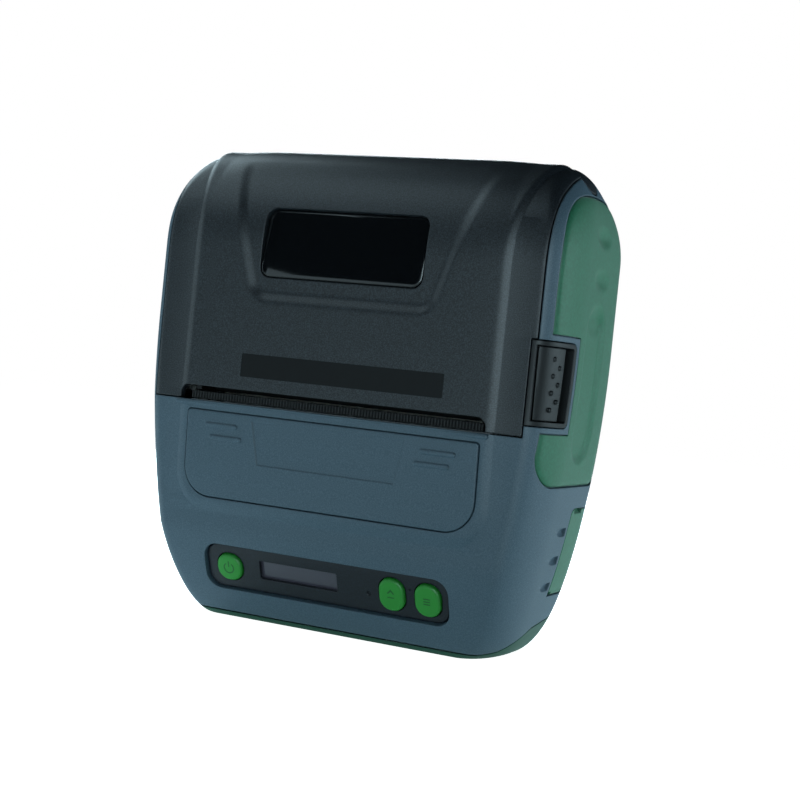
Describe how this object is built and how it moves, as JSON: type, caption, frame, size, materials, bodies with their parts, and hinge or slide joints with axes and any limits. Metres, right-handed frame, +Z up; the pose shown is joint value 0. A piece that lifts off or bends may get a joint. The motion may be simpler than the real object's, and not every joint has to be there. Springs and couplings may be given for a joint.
{
  "type": "portable label printer",
  "caption": "Portable label printer: rounded upright case with a hinged front lid, paper slot with tear bar, control panel with small display, side grips, release button and port door.",
  "frame": {"origin": "middle of the underside of the bounding box, on the surface the printer stands on", "axes": "+Z up, -Y the printer's front with lid and control panel, +X the viewer's right when facing it"},
  "size_m": [0.1268, 0.0601, 0.1358],
  "materials": {
    "case": "satin",
    "lid": "satin",
    "window": "gloss",
    "grip": "matte",
    "button": "satin",
    "base": "satin",
    "panel": "satin",
    "inner": "satin",
    "roller": "matte",
    "steel": "satin",
    "sink": "satin",
    "acetal": "satin",
    "board": "satin",
    "ceramic": "satin",
    "display": "gloss"
  },
  "bodies": {
    "case": {"front_housing": "case", "rear_housing": "case", "base_cover": "base", "front_inlay": "case", "control_bezel": "panel", "display_lens": "display", "display_module": "inner", "button_board": "board", "side_grip_right": "grip", "side_grip_left": "grip", "latch_cup": "inner", "latch_spring": "steel", "hinge_pin": "steel", "mechanism_frame": "steel", "stepper_motor": "steel", "head_pivot_pin": "steel", "head_spring_left": "steel", "head_spring_right": "steel", "tear_bar": "steel", "paper_bay": "inner", "rack_bed": "inner", "label_sensor": "inner", "main_board": "board", "usb_socket": "steel", "battery_contacts": "acetal"},
    "lid": {"lid_shell": "lid", "lid_window": "window", "lid_liner": "inner", "platen_carrier": "inner", "platen_bush_right": "acetal", "platen_bush_left": "acetal"},
    "platen": {"platen_shaft": "steel", "platen_roller": "roller", "platen_gear": "acetal"},
    "upper_idler": {"idler_gear_upper": "acetal"},
    "lower_idler": {"idler_gear_lower": "acetal"},
    "motor_rotor": {"motor_gear": "acetal", "motor_shaft": "steel"},
    "head": {"print_head": "ceramic", "heat_sink": "sink"},
    "release_button": {"latch_button": "inner"},
    "release_lever": {"latch_lever": "steel"},
    "left_guide": {"paper_guide_left": "inner"},
    "right_guide": {"paper_guide_right": "inner"},
    "pinion": {"guide_pinion": "acetal"},
    "door": {"port_door": "grip"},
    "power_key": {"power_button": "button"},
    "feed_key": {"feed_button": "button"},
    "function_key": {"function_button": "button"},
    "battery": {"battery_pack": "case"},
    "battery_catch": {"battery_latch": "inner"}
  },
  "joints": [
    {"name": "lid_hinge", "type": "hinge", "parent": "case", "child": "lid", "pos_m": [0, -0.004, 0.1319], "axis": [-1, 0, 0], "range_deg": [0, 85]},
    {"name": "platen_spin", "type": "hinge", "parent": "lid", "child": "platen", "pos_m": [0, -0.0185, 0.069], "axis": [1, 0, 0], "continuous": true},
    {"name": "upper_idler_spin", "type": "hinge", "parent": "case", "child": "upper_idler", "pos_m": [0, -0.00667, 0.06583], "axis": [1, 0, 0], "continuous": true},
    {"name": "lower_idler_spin", "type": "hinge", "parent": "case", "child": "lower_idler", "pos_m": [0, -0.00921, 0.0514], "axis": [1, 0, 0], "continuous": true},
    {"name": "motor_spin", "type": "hinge", "parent": "case", "child": "motor_rotor", "pos_m": [0, -0.00729, 0.04052], "axis": [1, 0, 0], "continuous": true},
    {"name": "head_tilt", "type": "hinge", "parent": "case", "child": "head", "pos_m": [0, -0.0108, 0.06], "axis": [-1, 0, 0], "range_deg": [0, 1.5], "stiffness_Nm_per_rad": 2, "springref_deg": -4.58},
    {"name": "release_slide", "type": "slide", "parent": "case", "child": "release_button", "axis": [0, 1, 0], "range_m": [0, 0.0015], "stiffness_N_per_m": 400, "springref_m": -0.001},
    {"name": "lever_turn", "type": "hinge", "parent": "case", "child": "release_lever", "pos_m": [0.0487, -0.012, 0.071], "axis": [-1, 0, 0], "range_deg": [0, 22.5]},
    {"name": "left_guide_slide", "type": "slide", "parent": "case", "child": "left_guide", "axis": [1, 0, 0], "range_m": [0, 0.014]},
    {"name": "right_guide_slide", "type": "slide", "parent": "case", "child": "right_guide", "axis": [-1, 0, 0], "range_m": [0, 0.014]},
    {"name": "pinion_spin", "type": "hinge", "parent": "case", "child": "pinion", "pos_m": [0, 0.001, 0.0693], "axis": [0, 0, 1], "range_deg": [0, 167.2]},
    {"name": "port_door_hinge", "type": "hinge", "parent": "case", "child": "door", "pos_m": [0.05511, 0.01, 0.019], "axis": [0, 1, 0], "range_deg": [0, 80]},
    {"name": "power_press", "type": "slide", "parent": "case", "child": "power_key", "axis": [0, 0.9272, 0.3745], "range_m": [0, 0.0008], "stiffness_N_per_m": 300, "springref_m": -0.001},
    {"name": "feed_press", "type": "slide", "parent": "case", "child": "feed_key", "axis": [0, 0.9272, 0.3745], "range_m": [0, 0.0008], "stiffness_N_per_m": 300, "springref_m": -0.001},
    {"name": "function_press", "type": "slide", "parent": "case", "child": "function_key", "axis": [0, 0.9272, 0.3745], "range_m": [0, 0.0008], "stiffness_N_per_m": 300, "springref_m": -0.001},
    {"name": "battery_slide", "type": "slide", "parent": "case", "child": "battery", "axis": [0, 1, 0], "range_m": [0, 0.025]},
    {"name": "battery_catch_slide", "type": "slide", "parent": "case", "child": "battery_catch", "axis": [0, 0, 1], "range_m": [0, 0.002], "stiffness_N_per_m": 300, "springref_m": -0.001}
  ],
  "couplings": [
    {"joint": "upper_idler_spin", "follows": "platen_spin", "ratio": -0.66667},
    {"joint": "lower_idler_spin", "follows": "platen_spin", "ratio": 0.66667},
    {"joint": "motor_spin", "follows": "platen_spin", "ratio": -1.3333},
    {"joint": "lever_turn", "follows": "release_slide", "rad_per_m": 260},
    {"joint": "right_guide_slide", "follows": "left_guide_slide", "ratio": 1},
    {"joint": "pinion_spin", "follows": "left_guide_slide", "rad_per_m": 208.33}
  ]
}
